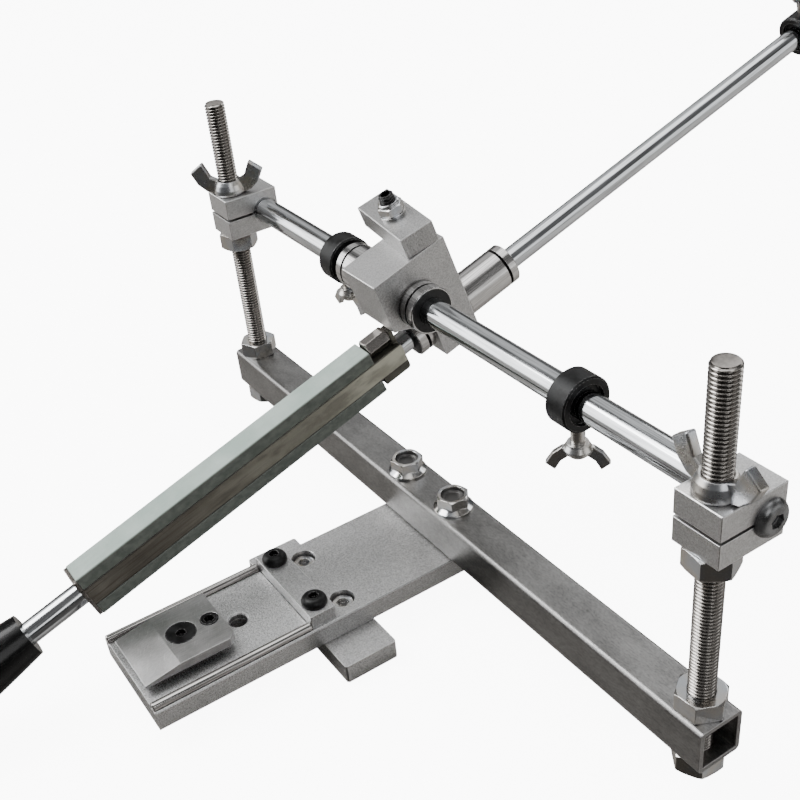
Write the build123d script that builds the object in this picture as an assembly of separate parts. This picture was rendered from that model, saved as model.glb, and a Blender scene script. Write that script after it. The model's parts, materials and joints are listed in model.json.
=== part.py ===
from build123d import *
import math
import os

# Guided honing rig for knives: a flat arm on a foot bar carries a square tube with two
# upright studs; a cross rod between the studs carries a pitching, sliding carriage, and a
# long guide rod through the carriage carries a two-sided stone holder.
# Millimetres. +X runs along the tube to the right-hand stud, +Y points away from the
# knife end, +Z is up. The pieces are laid out with y = 0 under the tube; each finished node
# is then moved so that the origin is the centre of the foot bar's underside.

# ---- driving dimensions -------------------------------------------------------------
slip = 0.05                  # radial running clearance between pieces that move
snug = 0.02                  # radial clearance between fixed pieces

foot_length = 88.0
foot_depth = 25.0
foot_height = 9.0
foot_y = -63.5

arm_width = 54.0
arm_thickness = 10.0
arm_rear_y = 10.0
arm_front_y = -152.0

tube_length = 350.0
tube_side = 20.0
tube_wall = 2.0
tube_corner = 2.0

stud_spacing = 330.0
stud_radius = 5.0
stud_bottom_z = 8.0
stud_top_z = 179.0
nut_flats = 17.0
nut_height = 8.0

block_width = 20.0
block_front_y = -8.0
block_rear_y = 20.5
block_height = 21.0
slit_height = 1.4

cross_rod_radius = 6.0
cross_rod_y = 13.2
cross_rod_z = 122.0

carriage_x = -28.0           # guide rod's place along the cross rod
carriage_width = 25.0
pitch_deg = 17.75            # the guide rod climbs this much towards the rear
guide_drop = 21.5            # guide rod axis below the cross rod axis
guide_radius = 5.0
cross_bushing_radius = 10.5
guide_bushing_radius = 9.5
cross_bushing_span = (-39.6, 22.0)
guide_bushing_span = (-6.0, 52.0)

holder_front = -183.5        # along the guide rod, from the point under the cross rod
holder_rear = -13.0
stone_rear = -28.0
holder_width = 12.0
holder_height = 10.0
stone_thickness = 6.4

collar_radius = 11.3
collar_length = 10.5
collar_left_x = -81.5
collar_right_x = 80.75

# ---- levels and places worked out from the driving dimensions -----------------------
arm_bottom_z = foot_height
arm_top_z = arm_bottom_z + arm_thickness
tube_bottom_z = arm_top_z
tube_top_z = tube_bottom_z + tube_side
stud_x = stud_spacing / 2
half_tube = tube_side / 2
block_bottom_z = cross_rod_z - block_height / 2
block_top_z = cross_rod_z + block_height / 2
rod_half_length = stud_x + block_width / 2
sides = (-1, 1)

BASE = (Align.CENTER, Align.CENTER, Align.MIN)
ALONG_X = Rot(0, 90, 0)
ALONG_Y = Rot(-90, 0, 0)
# Carriage frame: x across, y along the guide rod, z away from it; origin on the cross rod.
CARRIAGE = Location((carriage_x, cross_rod_y, cross_rod_z), (pitch_deg, 0, 0))


# ---- small shape helpers ------------------------------------------------------------
def box(x0, x1, y0, y1, z0, z1):
    """Box between two corners."""
    centre = Pos((x0 + x1) / 2, (y0 + y1) / 2, (z0 + z1) / 2)
    return centre * Box(x1 - x0, y1 - y0, z1 - z0)


def bar_z(radius, z0, z1, x=0.0, y=0.0):
    """Round bar standing on z0."""
    return Pos(x, y, z0) * Cylinder(radius, z1 - z0, align=BASE)


def bar_x(radius, x0, x1, y=0.0, z=0.0):
    """Round bar along X."""
    return Pos(x0, y, z) * ALONG_X * Cylinder(radius, x1 - x0, align=BASE)


def bar_y(radius, y0, y1, x=0.0, z=0.0):
    """Round bar along Y."""
    return Pos(x, y0, z) * ALONG_Y * Cylinder(radius, y1 - y0, align=BASE)


def chamfered_bar(radius, length, size):
    """Round bar from the origin up Z, with both end edges chamfered."""
    bar = Cylinder(radius, length, align=BASE)
    return chamfer(bar.edges().filter_by(GeomType.CIRCLE), size)


def turned(points):
    """Solid of revolution about Z from an (r, z) outline that starts and ends on the axis."""
    outline = Polyline(*[(r, 0, z) for r, z in points], close=True)
    return revolve(make_face(outline), Axis.Z)


def hex_prism(flats, height, edge=1.1):
    """Hexagonal prism on z = 0 with its corners turned off at both ends."""
    corner = flats / math.sqrt(3)
    prism = extrude(RegularPolygon(corner, 6), height)
    turned_bar = chamfer(
        Cylinder(corner, height, align=BASE).edges().filter_by(GeomType.CIRCLE), edge * 0.55, edge
    )
    return prism & turned_bar


def hex_nut(flats, height, bore):
    """Plain hexagon nut on z = 0."""
    return hex_prism(flats, height) - bar_z(bore, -1, height + 1)


def hex_socket(flats, depth, top_z):
    """Tool for a hexagonal key recess that opens upwards at top_z."""
    return Pos(0, 0, top_z - depth) * extrude(RegularPolygon(flats / math.sqrt(3), 6), depth + 1)


def domed_head(radius, height):
    """Button head on z = 0: a low rim and a domed crown."""
    rim = height * 0.25
    crown = 0.52 * radius
    middle = (0.86 * radius, 0, height * 0.74)
    outline = [
        Line((0, 0, 0), (radius, 0, 0)),
        Line((radius, 0, 0), (radius, 0, rim)),
        ThreePointArc((radius, 0, rim), middle, (crown, 0, height)),
        Line((crown, 0, height), (0, 0, height)),
        Line((0, 0, height), (0, 0, 0)),
    ]
    return revolve(make_face(outline), Axis.Z)


def button_screw(head_radius, head_height, thread_radius, length, key):
    """Button-head screw: head on z = 0, thread hanging down."""
    screw = domed_head(head_radius, head_height) + bar_z(thread_radius, -length, 0.5)
    return screw - hex_socket(key, head_height * 0.65, head_height)


def cap_screw(head_radius, head_height, thread_radius, length, key):
    """Socket cap screw: head on z = 0, thread hanging down."""
    head = Cylinder(head_radius, head_height, align=BASE)
    top_edge = head.edges().filter_by(GeomType.CIRCLE).sort_by(Axis.Z)[-1]
    screw = chamfer(top_edge, 0.5) + bar_z(thread_radius, -length, 0.5)
    return screw - hex_socket(key, head_height * 0.55, head_height)


# ---- base ---------------------------------------------------------------------------
foot_screw_x = 17.0
foot_screw_y = -60.0
strip_screw_x = 17.5
strip_screw_y = -73.2
flange_bolt_x = 18.0
jaw_screw_y = -126.9
spare_hole_y = -101.8
m6 = 3.0
m8 = 4.0
rail_x = 24.0
rail_radius = 2.0
rail_floor_z = arm_top_z - 1.2
bed_half_width = 21.8
bed_thickness = 3.0
strip_half_width = 25.0
strip_front_y = -79.4
strip_rear_y = -67.4
strip_thickness = 6.0


def foot_bar():
    """Cross bar under the arm; clamps hold it down by its two ends."""
    half = foot_depth / 2
    bar = box(-foot_length / 2, foot_length / 2, foot_y - half, foot_y + half, 0, foot_height)
    bar = chamfer(bar.edges().filter_by(Axis.Z), 0.8)
    for side in sides:
        bar -= bar_z(m6 + snug, -1, foot_height + 1, side * foot_screw_x, foot_screw_y)
    return bar


def foot_screws():
    """Two cap screws sunk in the arm, threaded into the foot bar."""
    head_z = arm_top_z - 6.6
    screw = cap_screw(5.0, 4.4, m6, head_z - 1.5, 5.0)
    return Compound([Pos(side * foot_screw_x, foot_screw_y, head_z) * screw for side in sides])


def arm_plate():
    """Flat bar that carries the tube at its rear and the knife jaw at its front."""
    half = arm_width / 2
    arm = box(-half, half, arm_front_y, arm_rear_y, arm_bottom_z, arm_top_z)
    arm = chamfer(arm.edges().filter_by(Axis.Y), 0.5)
    low = arm_bottom_z - 1
    high = arm_top_z + 1
    for side in sides:
        arm -= bar_z(m6 + 0.3, low, high, side * foot_screw_x, foot_screw_y)
        arm -= bar_z(5.5, arm_top_z - 6.6, high, side * foot_screw_x, foot_screw_y)
        arm -= bar_z(m6 + snug, low, high, side * strip_screw_x, strip_screw_y)
        arm -= bar_z(m8 + snug, low, high, side * flange_bolt_x, 0)
    front = arm_front_y - 1
    arm -= box(-22, 22, front, strip_front_y, arm_top_z - bed_thickness, high)
    groove = rail_x + rail_radius + 0.1
    arm -= box(-groove, groove, front, strip_front_y, rail_floor_z, high)
    arm -= bar_z(m6 + slip, low, high, 0, jaw_screw_y)
    arm -= bar_z(m8, low, high, 0, spare_hole_y)
    return arm


def base_tube():
    """Square tube across the arm, open at both ends."""
    outer = RectangleRounded(tube_side, tube_side, tube_corner)
    inner_side = tube_side - 2 * tube_wall
    inner = RectangleRounded(inner_side, inner_side, 0.6)
    tube = ALONG_X * extrude(outer - inner, tube_length)
    tube = Pos(-tube_length / 2, 0, tube_bottom_z + half_tube) * tube
    for side in sides:
        tube -= bar_z(stud_radius + 0.2, tube_bottom_z - 1, tube_top_z + 1, side * stud_x)
        tube -= bar_z(m8 + 0.25, tube_bottom_z - 1, tube_top_z + 1, side * flange_bolt_x)
    return tube


def flange_bolt():
    """Hexagon flange bolt: flange on z = 0, cupped head, thread hanging down."""
    flange = turned([(0, 0), (8.8, 0), (8.8, 1.0), (6.4, 2.6), (0, 2.6)])
    cup = turned([(0, 4.7), (4.2, 4.7), (4.9, 5.5), (5.3, 7.3), (0, 7.3)])
    head = Pos(0, 0, 1.0) * hex_prism(13.0, 6.2, 1.0) - cup
    return flange + head + bar_z(m8, arm_bottom_z + 1.0 - tube_top_z, 0.5)


def flange_bolts():
    """Two bolts that hold the tube down on the arm."""
    bolt = flange_bolt()
    turn = {-1: 8, 1: 21}
    places = [Pos(side * flange_bolt_x, 0, tube_top_z) * Rot(0, 0, turn[side]) for side in sides]
    return Compound([place * bolt for place in places])


def stud(side):
    """Upright threaded stud through the tube, chamfered at both ends."""
    rod = chamfered_bar(stud_radius, stud_top_z - stud_bottom_z, 0.7)
    return Pos(side * stud_x, 0, stud_bottom_z) * rod


def base_nuts(z, turns):
    """One nut on each stud, standing on z."""
    nut = hex_nut(nut_flats, nut_height, stud_radius + snug)
    places = [Pos(side * stud_x, 0, z) * Rot(0, 0, turn) for side, turn in zip(sides, turns)]
    return Compound([place * nut for place in places])


def side_rails():
    """Two bright rods that lie in the arm's side grooves, outside the bed plate."""
    length = strip_front_y - arm_front_y - 0.3
    rail = chamfered_bar(rail_radius, length, 0.3)
    z = rail_floor_z + rail_radius
    return Compound([Pos(side * rail_x, arm_front_y, z) * ALONG_Y * rail for side in sides])


def jaw_bed_plate():
    """Plate let into the arm between the rails; the blade lies on it."""
    low = arm_top_z - bed_thickness
    rear = strip_front_y - 0.3
    bed = box(-bed_half_width, bed_half_width, arm_front_y, rear, low, arm_top_z)
    bed -= bar_z(m6 + slip, low - 1, arm_top_z + 1, 0, jaw_screw_y)
    bed -= bar_z(m8, low - 1, arm_top_z + 1, 0, spare_hole_y)
    rim = turned([(0, -0.7), (m8, -0.7), (m8 + 0.8, 0.1), (0, 0.1)])
    return bed - Pos(0, spare_hole_y, arm_top_z) * rim


def stop_strip():
    """Cross strip screwed on the arm behind the bed plate."""
    half = strip_half_width
    strip = box(-half, half, strip_front_y, strip_rear_y, arm_top_z, arm_top_z + strip_thickness)
    strip = chamfer(strip.edges().filter_by(Axis.Z), 0.4)
    for side in sides:
        hole_top = arm_top_z + strip_thickness + 1
        strip -= bar_z(m6 + 0.2, arm_top_z - 1, hole_top, side * strip_screw_x, strip_screw_y)
    return strip


def strip_screws():
    """Two black button-head screws through the strip."""
    screw = button_screw(5.6, 3.8, m6, strip_thickness + arm_thickness - 1, 4.0)
    z = arm_top_z + strip_thickness
    return Compound([Pos(side * strip_screw_x, strip_screw_y, z) * screw for side in sides])


# ---- knife jaw ----------------------------------------------------------------------
jaw_half_width = 16.2
jaw_rear_y = -109.0
jaw_bevel_y = -134.5
jaw_front_y = -150.5
jaw_bottom_z = arm_top_z + 3.9
jaw_thickness = 4.0
jaw_nose = 1.2
csk_radius = 6.6
csk_depth = csk_radius - m6
set_screw_y = -113.9


def top_jaw():
    """Upper jaw: bevelled to a thin nose at the front, tapped for the levelling screw."""
    top_z = jaw_bottom_z + jaw_thickness
    outline = Polyline(
        (0, jaw_rear_y, jaw_bottom_z),
        (0, jaw_rear_y, top_z),
        (0, jaw_bevel_y, top_z),
        (0, jaw_front_y, jaw_bottom_z + jaw_nose),
        (0, jaw_front_y, jaw_bottom_z),
        close=True,
    )
    jaw = Pos(-jaw_half_width, 0, 0) * extrude(make_face(outline), 2 * jaw_half_width, dir=(1, 0, 0))
    rear_edges = jaw.edges().filter_by(Axis.Z).group_by(Axis.Y)[-1].sort_by(Axis.X)
    jaw = chamfer(rear_edges[-1], 3.0)
    gap = 0.07
    mouth = csk_radius + gap
    sink = turned([(0, -csk_depth), (m6 + gap, -csk_depth), (mouth, 0), (mouth, 1), (0, 1)])
    jaw -= Pos(0, jaw_screw_y, top_z) * sink
    jaw -= bar_z(m6 + slip, jaw_bottom_z - 1, top_z + 1, 0, jaw_screw_y)
    jaw -= bar_z(m8 + slip, jaw_bottom_z - 1, top_z + 1, 0, set_screw_y)
    return jaw


def jaw_clamp_screw():
    """Countersunk screw that pulls the jaw down on the blade; it ends in the arm."""
    top_z = jaw_bottom_z + jaw_thickness
    length = top_z - arm_bottom_z - 1.0
    screw = turned([(0, -length), (m6, -length), (m6, -csk_depth), (csk_radius, 0), (0, 0)])
    return Pos(0, jaw_screw_y, top_z) * (screw - hex_socket(4.0, 2.6, 0))


def jaw_set_screw():
    """Grub screw at the jaw's rear that sets its height on the bed plate."""
    low = arm_top_z + 0.05
    top_z = jaw_bottom_z + jaw_thickness + 0.3
    screw = Pos(0, 0, low) * chamfered_bar(m8, top_z - low, 0.5) - hex_socket(4.0, 3.2, top_z)
    return Pos(0, set_screw_y, 0) * screw


# ---- cross bar ----------------------------------------------------------------------
end_head_radius = 6.9
end_head_height = 3.2


def clamp_block(side):
    """Slit block: bored for the stud near its front and for the cross rod near its rear."""
    x = side * stud_x
    half = block_width / 2
    block = box(x - half, x + half, block_front_y, block_rear_y, block_bottom_z, block_top_z)
    block = chamfer(block.edges(), 0.25)
    block -= bar_z(stud_radius + slip, block_bottom_z - 1, block_top_z + 1, x)
    block -= bar_x(cross_rod_radius + snug, x - half - 1, x + half + 1, cross_rod_y, cross_rod_z)
    slit = slit_height / 2
    inner = x - side * half
    block -= bar_x(cross_rod_radius + 0.8, inner - 1.2, inner + 1.2, cross_rod_y, cross_rod_z)
    slit_box = box(x - half - 1, x + half + 1, block_front_y - 1, cross_rod_y, -slit, slit)
    return block - Pos(0, 0, cross_rod_z) * slit_box


def cross_rod():
    """Polished shaft between the clamp blocks, tapped at both ends."""
    rod = bar_x(cross_rod_radius, -rod_half_length, rod_half_length, cross_rod_y, cross_rod_z)
    depth = 22.0
    for x0 in (-rod_half_length - 1, rod_half_length - depth):
        rod -= bar_x(m8 + snug, x0, x0 + depth + 1, cross_rod_y, cross_rod_z)
    return rod


def cross_rod_screws():
    """Black button-head screws in the cross rod's ends, heads on the blocks' outer faces."""
    screw = button_screw(end_head_radius, end_head_height, m8, 20.0, 5.0)
    ends = []
    for side in sides:
        place = Pos(side * rod_half_length, cross_rod_y, cross_rod_z)
        ends.append(place * Rot(0, side * 90, 0) * Rot(0, 0, 15) * screw)
    return Compound(ends)


def adjusting_nut(side):
    """Nut under a clamp block that sets the cross rod's height."""
    nut = hex_nut(nut_flats, nut_height, stud_radius + slip)
    turn = 53 if side > 0 else 16
    return Pos(side * stud_x, 0, block_bottom_z - nut_height) * Rot(0, 0, turn) * nut


def ear(outline, thickness, edge):
    """One flat ear from an (x, z) outline, centred on the XZ plane, with its edges rounded."""
    profile = make_face(Polyline(*[(x, 0, z) for x, z in outline], close=True))
    plate = extrude(profile, thickness / 2, both=True)
    return fillet(plate.edges(), edge)


def two_ears(outline, thickness, edge):
    """A pair of ears on opposite sides of Z."""
    right = ear(outline, thickness, edge)
    return right + Rot(0, 0, 180) * right


def wing_nut():
    """Cast wing nut standing on z = 0, ears along X."""
    hub = turned([(0, 0), (7.4, 0), (7.9, 1.2), (7.8, 3.0), (7.0, 5.4), (5.9, 7.3), (0, 7.3)])
    outline = [
        (4.0, 0.2), (7.5, 0.4), (11.5, 1.8), (15.6, 5.6), (18.5, 11.7), (12.0, 16.5), (8.6, 9.0), (4.0, 6.6)
    ]
    nut = hub + two_ears(outline, 4.0, 0.7)
    return nut - bar_z(stud_radius + slip, -1, 25)


def placed_wing_nut(side):
    """Wing nut that locks a clamp block down on its adjusting nut."""
    turn = -2 if side > 0 else 52
    return Pos(side * stud_x, 0, block_top_z) * Rot(0, 0, turn) * wing_nut()


# ---- linear ball bushings -----------------------------------------------------------
ball_radius = 1.2
shell_wall = 2.0
lip_wall = 0.75              # the sleeve's wall round the seal at each end
seal_inset = 0.3
seal_length = 2.0
groove_width = 1.3
groove_depth = 0.6
groove_inset = 4.0
row_inset = 8.0              # from a sleeve's end to its first ball
circuits = 4
balls_per_circuit = 6


def bushing_shell(radius, y0, y1):
    """Steel sleeve with a retaining groove near each end."""
    shell = bar_y(radius, y0, y1) - bar_y(radius - shell_wall, y0 - 1, y1 + 1)
    shell = chamfer(shell.edges().filter_by(GeomType.CIRCLE).sort_by(SortBy.RADIUS)[-2:], 0.3)
    recess = seal_inset + seal_length
    shell -= bar_y(radius - lip_wall, y0 - 1, y0 + recess)
    shell -= bar_y(radius - lip_wall, y1 - recess, y1 + 1)
    for start in (y0 + groove_inset, y1 - groove_inset - groove_width):
        cut = bar_y(radius + 1, start, start + groove_width)
        shell -= cut - bar_y(radius - groove_depth, start - 1, start + groove_width + 1)
    return shell


def bushing_seals(radius, y0, y1, shaft_radius):
    """Black wiper ring inside each end of the sleeve."""
    rings = []
    for start in (y0 + seal_inset, y1 - seal_inset - seal_length):
        ring = bar_y(radius - lip_wall - snug, start, start + seal_length)
        rings.append(ring - bar_y(shaft_radius + slip, start - 1, start + seal_length + 1))
    return Compound(rings)


def ball_places(y0, y1, shaft_radius):
    """Centres of the loaded balls, in straight rows around the shaft."""
    orbit = shaft_radius + slip + ball_radius
    first = y0 + row_inset
    step = (y1 - y0 - 2 * row_inset) / (balls_per_circuit - 1)
    places = []
    for circuit in range(circuits):
        angle = math.radians(45 + 360 / circuits * circuit)
        for index in range(balls_per_circuit):
            y = first + step * index
            places.append((orbit * math.cos(angle), y, orbit * math.sin(angle)))
    return places


def bushing_cage(radius, y0, y1, shaft_radius):
    """Plastic ball cage between the seals, with a straight slot for each row of balls."""
    start = y0 + seal_inset + seal_length + 0.15
    end = y1 - seal_inset - seal_length - 0.15
    cage = bar_y(radius - shell_wall - slip, start, end)
    cage -= bar_y(shaft_radius + 0.3, start - 1, end + 1)
    half_slot = ball_radius + 0.1
    slot = box(0, radius, y0 + row_inset - 2, y1 - row_inset + 2, -half_slot, half_slot)
    for circuit in range(circuits):
        cage -= Rot(0, 45 + 360 / circuits * circuit, 0) * slot
    return cage


def bushing_balls(y0, y1, shaft_radius):
    """Steel balls that roll on the shaft."""
    ball = Sphere(ball_radius)
    return Compound([Pos(*place) * ball for place in ball_places(y0, y1, shaft_radius)])


# ---- carriage -----------------------------------------------------------------------
carriage_front = -16.0
carriage_rear = 22.0
carriage_top = 20.5
carriage_bottom = -32.5
step_front = 2.0             # front face of the lower half, behind the upper half's nose
swivel_at = (-8.0, 14.0)     # swivel screw's place on the carriage's top face
swivel_turn = -6.0
swivel_length = 40.0
swivel_width = 16.0
swivel_thickness = 10.0
swivel_screw_radius = 3.4
washer_radius = 5.8
washer_thickness = 1.4
swivel_nut_flats = 10.0
swivel_nut_height = 5.6


def from_cross_axis(shape):
    """Turn a bushing piece built along Y onto the cross rod, through the carriage."""
    return Rot(0, 0, -90) * shape


def from_guide_axis(shape):
    """Drop a bushing piece built along Y onto the guide rod."""
    return Pos(0, 0, -guide_drop) * shape


def carriage_block():
    """Milled block with a bore for each ball bushing; its lower half is cut back."""
    outline = Polyline(
        (0, carriage_rear, carriage_top),
        (0, carriage_front, carriage_top),
        (0, carriage_front, -4.5),
        (0, -11.0, -6.5),
        (0, step_front, -14.5),
        (0, step_front, carriage_bottom),
        (0, carriage_rear, carriage_bottom),
        close=True,
    )
    half = carriage_width / 2
    block = Pos(-half, 0, 0) * extrude(make_face(outline), carriage_width, dir=(1, 0, 0))
    block = chamfer(block.edges().filter_by(Axis.X), 0.25)
    block -= bar_x(cross_bushing_radius + snug, -half - 1, half + 1)
    bore = bar_y(guide_bushing_radius + snug, guide_bushing_span[0] - 1, carriage_rear + 1)
    block -= from_guide_axis(bore)
    x, y = swivel_at
    return block - bar_z(swivel_screw_radius + snug, carriage_top - 6.5, carriage_top + 1, x, y)


def swivel_bar():
    """Square bar held on the carriage's top face by one screw; it can be swung round."""
    half_length = swivel_length / 2
    half_width = swivel_width / 2
    bar = box(-half_length, half_length, -half_width, half_width, 0, swivel_thickness)
    bar = chamfer(bar.edges(), 0.25)
    bar -= bar_z(swivel_screw_radius + slip, -1, swivel_thickness + 1)
    x, y = swivel_at
    return Pos(x, y, carriage_top) * Rot(0, 0, swivel_turn) * bar


def swivel_screw():
    """Black grub screw that stands in the carriage and through the swivel bar."""
    length = 6.0 + swivel_thickness + washer_thickness + swivel_nut_height + 3.4
    screw = chamfered_bar(swivel_screw_radius, length, 0.6) - hex_socket(4.0, 3.0, length)
    x, y = swivel_at
    return Pos(x, y, carriage_top - 6.0) * screw


def swivel_washer():
    """Plain washer under the swivel bar's nut."""
    x, y = swivel_at
    z = carriage_top + swivel_thickness
    washer = bar_z(washer_radius, z, z + washer_thickness)
    washer -= bar_z(swivel_screw_radius + slip, z - 1, z + 2)
    return Pos(x, y, 0) * washer


def swivel_nut():
    """Hexagon locking nut with a round collar on top; it holds the swivel bar down."""
    x, y = swivel_at
    z = carriage_top + swivel_thickness + washer_thickness
    collar_height = 1.6
    nut = hex_prism(swivel_nut_flats, swivel_nut_height - collar_height, 0.8)
    collar = chamfered_bar(swivel_nut_flats / 2 - 0.3, swivel_nut_height, 0.5)
    nut = nut + collar - bar_z(swivel_screw_radius + slip, -1, swivel_nut_height + 1)
    return Pos(x, y, z) * Rot(0, 0, 20) * nut


# ---- guide rod and stone holder -----------------------------------------------------
guide_end = 270.0
spigot_radius = 3.0
spigot_length = 12.0
end_plate_thickness = 1.6
body_front = holder_front + end_plate_thickness
lug_front = -15.2
lug_rear = -13.2
lug_top = holder_height / 2 + 7.0
clamp_head_front = stone_rear + 0.5
clamp_head_rear = -15.8
clamp_radius = 2.5
clamp_axis = holder_height / 2 + 4.6
handle_front = -296.0
handle_rear = -210.0
handle_rod_end = -275.0
far_collar_at = 243.0


def guide_rod():
    """Long polished shaft; its front end is turned down and screwed into the holder."""
    rod = bar_y(guide_radius, holder_rear, guide_end)
    end_edge = rod.edges().filter_by(GeomType.CIRCLE).sort_by(Axis.Y)[-1]
    rod = chamfer(end_edge, 0.8)
    return rod + bar_y(spigot_radius, holder_rear - spigot_length, holder_rear + 0.5)


def stone_holder():
    """Bar between the two stones, with a tapped lug on top and a lip below at its rear."""
    half = holder_width / 2
    low = -holder_height / 2
    high = holder_height / 2
    body = box(-half, half, body_front, holder_rear, low, high)
    body += box(-half, half, stone_rear + 1.2, holder_rear, low - 3.8, low + 0.5)
    rear_edges = body.edges().filter_by(Axis.X).group_by(Axis.Y)[-1]
    body = fillet(rear_edges, 1.6)
    body += box(-3.0, 3.0, lug_front, lug_rear, high - 1.8, lug_top)
    body -= bar_y(clamp_radius + slip, lug_front - 1, lug_rear + 1, 0, clamp_axis)
    body -= bar_y(spigot_radius + snug, holder_rear - spigot_length - 1, holder_rear + 1)
    body -= bar_y(spigot_radius + snug, body_front - 1, body_front + spigot_length + 1)
    return body


def stone(z0):
    """Rectangular honing stone with softened edges."""
    half = holder_width / 2
    blank = box(-half, half, body_front, stone_rear, z0, z0 + stone_thickness)
    return chamfer(blank.edges(), 0.35)


def holder_end_plate():
    """Thin stop plate across the front ends of the stones."""
    half = holder_width / 2
    reach = holder_height / 2 + stone_thickness - 0.8
    plate = box(-half, half, holder_front, body_front, -reach, reach)
    return plate - bar_y(spigot_radius + snug, holder_front - 1, body_front + 1)


def stone_clamp_screw():
    """Hexagon-headed screw in the lug; its head bears on the end of the top stone."""
    head = hex_prism(8.0, clamp_head_rear - clamp_head_front, 0.9)
    shank = bar_z(clamp_radius, 0, lug_rear - clamp_head_front - 0.2)
    return Pos(0, clamp_head_front, clamp_axis) * ALONG_Y * (head + shank)


def handle_rod():
    """Short polished shaft from the holder's front end into the handle."""
    rod = bar_y(guide_radius, handle_rod_end, holder_front)
    return rod + bar_y(spigot_radius, holder_front - 0.5, body_front + spigot_length)


def handle():
    """Turned plastic grip, slim at the ferrule and swelling to a rounded butt."""
    end = handle_front - handle_rear
    swell = [(9.7, 0), (11.6, -16), (13.4, -38), (13.6, -56), (12.4, -74), (8.0, end)]
    outline = [
        Line((0, 0, 0), (9.7, 0, 0)),
        Spline(*[(r, 0, z) for r, z in swell]),
        Line((8.0, 0, end), (0, 0, end)),
        Line((0, 0, end), (0, 0, 0)),
    ]
    grip = revolve(make_face(outline), Axis.Z)
    grip = Pos(0, handle_rear, 0) * ALONG_Y * grip
    return grip - bar_y(guide_radius + snug, handle_rod_end, handle_rear + 1)


# ---- stop collars and their wing screws ---------------------------------------------
wing_shank_radius = 2.8
mouth_depth = 2.0            # recess round the shaft in each end of a stop collar


def stop_collar(shaft_radius, outer_radius, length):
    """Collar along X from the origin, tapped downwards at mid-length."""
    collar = Cylinder(outer_radius, length, align=BASE) - bar_z(shaft_radius + slip, -1, length + 1)
    rims = collar.edges().filter_by(GeomType.CIRCLE).sort_by(SortBy.RADIUS)[-2:]
    collar = ALONG_X * chamfer(rims, 0.7)
    for x0, x1 in ((-1, mouth_depth), (length - mouth_depth, length + 1)):
        collar -= bar_x(shaft_radius + 2.2, x0, x1)
    return collar - bar_z(wing_shank_radius + slip, -outer_radius - 1, -shaft_radius, length / 2)


def wing_screw(tip_to_hub):
    """Wing screw hanging down: its tip is at the origin and its ears open downwards."""
    hub = turned([(0, 0), (4.2, 0), (4.5, 0.8), (5.6, 2.6), (5.2, 4.2), (3.4, 6.0), (0, 6.0)])
    outline = [(2.5, 1.6), (6.0, 2.0), (9.4, 4.6), (12.3, 9.2), (8.6, 12.2), (6.4, 8.2), (2.5, 5.2)]
    grip = Pos(0, 0, tip_to_hub) * (hub + two_ears(outline, 2.9, 0.5))
    return Rot(180, 0, 0) * (grip + bar_z(wing_shank_radius, 0, tip_to_hub + 0.5))


screw_gap = 0.1              # between a wing screw's tip and its shaft
cross_screw_length = 12.3    # from a wing screw's tip to its hub
left_screw_length = 8.5      # a shorter screw on the left collar
far_screw_length = 11.0


def cross_collar(x):
    """Stop collar on the cross rod with its left face at x."""
    collar = stop_collar(cross_rod_radius, collar_radius, collar_length)
    return Pos(x, cross_rod_y, cross_rod_z) * collar


def cross_wing_screw(x, length, turn):
    """Wing screw under a stop collar."""
    tip_z = cross_rod_z - cross_rod_radius - screw_gap
    place = Pos(x + collar_length / 2, cross_rod_y, tip_z) * Rot(0, 0, turn)
    return place * wing_screw(length)


far_collar_radius = 10.0
far_collar_length = 16.0


def far_collar():
    """Stop collar near the guide rod's rear end, in the carriage frame."""
    collar = stop_collar(guide_radius, far_collar_radius, far_collar_length)
    upright = Rot(0, 0, 90) * Rot(180, 0, 0) * collar
    return Pos(0, far_collar_at, -guide_drop) * upright


def far_wing_screw():
    """Wing screw that stands up from the far collar."""
    tip_z = -guide_drop + guide_radius + screw_gap
    place = Pos(0, far_collar_at + far_collar_length / 2, tip_z) * Rot(0, 0, 20)
    return place * Rot(180, 0, 0) * wing_screw(far_screw_length)


# ---- nodes --------------------------------------------------------------------------
def carriage_nodes():
    """Every piece that is laid out in the carriage frame."""
    cross = (cross_bushing_radius, *cross_bushing_span)
    guide = (guide_bushing_radius, *guide_bushing_span)
    return {
        "carriage_block": carriage_block(),
        "cross_bushing_shell": from_cross_axis(bushing_shell(*cross)),
        "cross_bushing_seals": from_cross_axis(bushing_seals(*cross, cross_rod_radius)),
        "cross_bushing_cage": from_cross_axis(bushing_cage(*cross, cross_rod_radius)),
        "cross_bushing_balls": from_cross_axis(bushing_balls(*cross_bushing_span, cross_rod_radius)),
        "guide_bushing_shell": from_guide_axis(bushing_shell(*guide)),
        "guide_bushing_seals": from_guide_axis(bushing_seals(*guide, guide_radius)),
        "guide_bushing_cage": from_guide_axis(bushing_cage(*guide, guide_radius)),
        "guide_bushing_balls": from_guide_axis(bushing_balls(*guide_bushing_span, guide_radius)),
        "swivel_bar": swivel_bar(),
        "swivel_screw": swivel_screw(),
        "swivel_washer": swivel_washer(),
        "swivel_nut": swivel_nut(),
        "guide_rod": from_guide_axis(guide_rod()),
        "stone_holder": from_guide_axis(stone_holder()),
        "stone_top": from_guide_axis(stone(holder_height / 2)),
        "stone_bottom": from_guide_axis(stone(-holder_height / 2 - stone_thickness)),
        "holder_end_plate": from_guide_axis(holder_end_plate()),
        "stone_clamp_screw": from_guide_axis(stone_clamp_screw()),
        "handle_rod": from_guide_axis(handle_rod()),
        "handle": from_guide_axis(handle()),
        "stop_collar_far": far_collar(),
        "wing_screw_far": far_wing_screw(),
    }


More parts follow.
